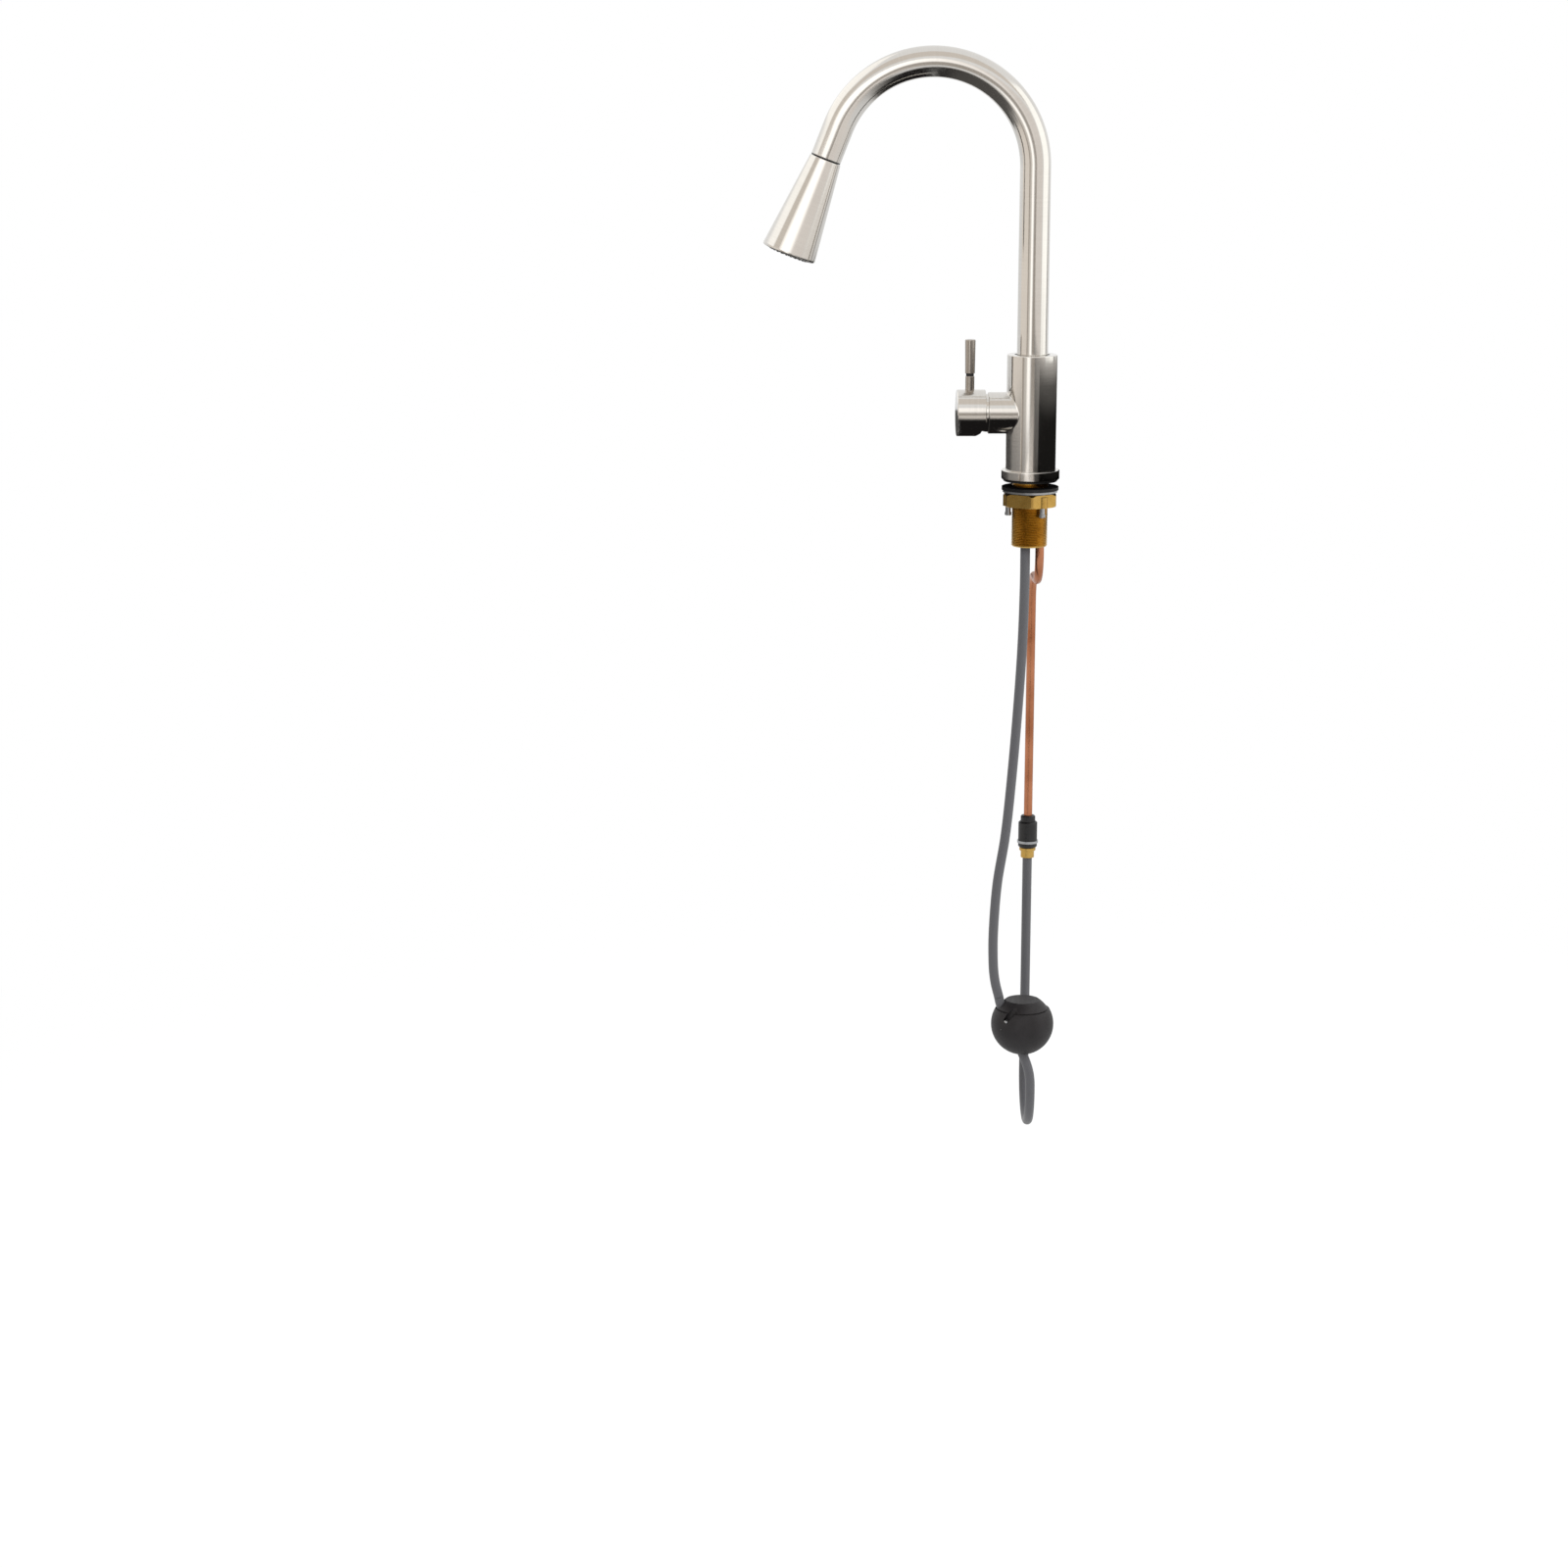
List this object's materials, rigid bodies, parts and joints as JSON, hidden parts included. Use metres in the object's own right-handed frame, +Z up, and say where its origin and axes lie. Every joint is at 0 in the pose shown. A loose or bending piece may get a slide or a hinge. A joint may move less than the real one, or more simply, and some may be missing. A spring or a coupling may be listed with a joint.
{
  "type": "pull_down_kitchen_mixer",
  "caption": "Single lever pull-down kitchen mixer in brushed steel: gooseneck spout, side valve barrel with a pin lever, conical spray head, hose with a ball counterweight",
  "frame": {"origin": "centre of the round seat on the deck's top face, on the body's axis", "axes": "+Z up along the body, -Y to the front where the spout, the valve barrel and the lever point, +X to the right of somebody who looks from behind the mixer to the front"},
  "size_m": [0.1147, 0.2751, 1.0175],
  "materials": {
    "brushed_stainless": "fine circumferential brushing, satin",
    "lever_steel": "fine turned satin, darker",
    "black_rubber": "matt moulded",
    "black_plastic": "fine satin moulded",
    "white_plastic": "satin moulded",
    "blue_plastic": "satin moulded",
    "grey_hose": "grey nylon braid over a rubber hose, filled with water in use",
    "cast_brass": "machined, dull",
    "zinc_steel": "bright turned",
    "copper_pipe": "drawn copper, dull",
    "valve_ceramic": "lapped ceramic",
    "black_weight": "cast iron dipped in black plastic, fine grained"
  },
  "bodies": {
    "base": {"base_gasket": "black_rubber", "base_ring": "brushed_stainless", "faucet_body": "brushed_stainless", "waterway_core": "cast_brass", "core_seals": "black_rubber", "threaded_shank": "cast_brass", "deck_washer_rubber": "black_rubber", "deck_washer_steel": "zinc_steel", "mounting_nut": "cast_brass", "jack_screws": "zinc_steel", "bush_upper": "black_plastic", "bush_lower": "black_plastic", "cartridge_housing": "white_plastic", "port_seals": "black_rubber", "fixed_disc": "valve_ceramic", "dome_nut": "brushed_stainless", "outlet_pipe": "copper_pipe", "pipe_coupling": "black_plastic", "coupling_clip": "zinc_steel", "hose_plug": "cast_brass", "hose_body_run": "grey_hose", "hose_drop": "grey_hose", "hose_return": "grey_hose"},
    "rotor": {"cartridge_rotor": "blue_plastic", "pivot_pin": "zinc_steel"},
    "disc": {"moving_disc": "valve_ceramic", "disc_driver": "blue_plastic"},
    "handle": {"cartridge_stem": "zinc_steel", "handle_hub": "brushed_stainless", "grub_screw": "zinc_steel", "lever_pin": "lever_steel", "lever_ring": "black_rubber", "lever_grip": "lever_steel"},
    "spout": {"spout_tube": "brushed_stainless", "spout_pivot": "cast_brass", "spout_seals": "black_rubber", "spout_circlip": "zinc_steel", "docking_collar": "black_plastic", "hose_spout_run": "grey_hose"},
    "hose_end": {"hose_ferrule": "zinc_steel", "swivel_nut": "cast_brass"},
    "spray_head": {"spray_shell": "brushed_stainless", "spray_core": "black_plastic", "spray_washer": "black_rubber", "check_valve": "white_plastic", "spray_face": "black_plastic", "spray_nozzles": "black_rubber", "aerator": "black_plastic"},
    "loop": {"hose_loop": "grey_hose"},
    "weight": {"hose_tail": "grey_hose", "weight_body": "black_weight", "weight_cap": "black_weight", "weight_screws": "zinc_steel"}
  },
  "joints": [
    {"name": "spout_swivel", "type": "hinge", "parent": "base", "child": "spout", "pos_m": [0, 0, 0.1], "axis": [0, 0, 1], "range_deg": [-180, 180]},
    {"name": "temperature", "type": "hinge", "parent": "base", "child": "rotor", "pos_m": [0, -0.03, 0.0622], "axis": [0, -1, 0], "range_deg": [-45, 45]},
    {"name": "flow_tilt", "type": "hinge", "parent": "rotor", "child": "handle", "pos_m": [0, -0.0405, 0.0622], "axis": [1, 0, 0], "range_deg": [0, 20]},
    {"name": "disc_slide", "type": "slide", "parent": "rotor", "child": "disc", "axis": [0, 0, 1], "range_m": [0, 0.0025]},
    {"name": "spray_pull", "type": "slide", "parent": "spout", "child": "hose_end", "axis": [0, -0.3665, -0.9304], "range_m": [0, 0.35]},
    {"name": "head_swivel", "type": "hinge", "parent": "hose_end", "child": "spray_head", "pos_m": [0, -0.18823, 0.29074], "axis": [0, -0.3665, -0.9304], "continuous": true},
    {"name": "loop_rise", "type": "slide", "parent": "base", "child": "loop", "axis": [0, 0, 1], "range_m": [0, 0.175], "deforming": ["hose_return"]},
    {"name": "weight_rise", "type": "slide", "parent": "loop", "child": "weight", "axis": [0, 0, 1], "range_m": [0, 0.175], "deforming": ["hose_drop", "hose_tail"]}
  ],
  "couplings": [
    {"joint": "disc_slide", "follows": "flow_tilt", "m_per_rad": 0.007},
    {"joint": "loop_rise", "follows": "spray_pull", "ratio": 0.5},
    {"joint": "weight_rise", "follows": "spray_pull", "ratio": 0.5}
  ]
}
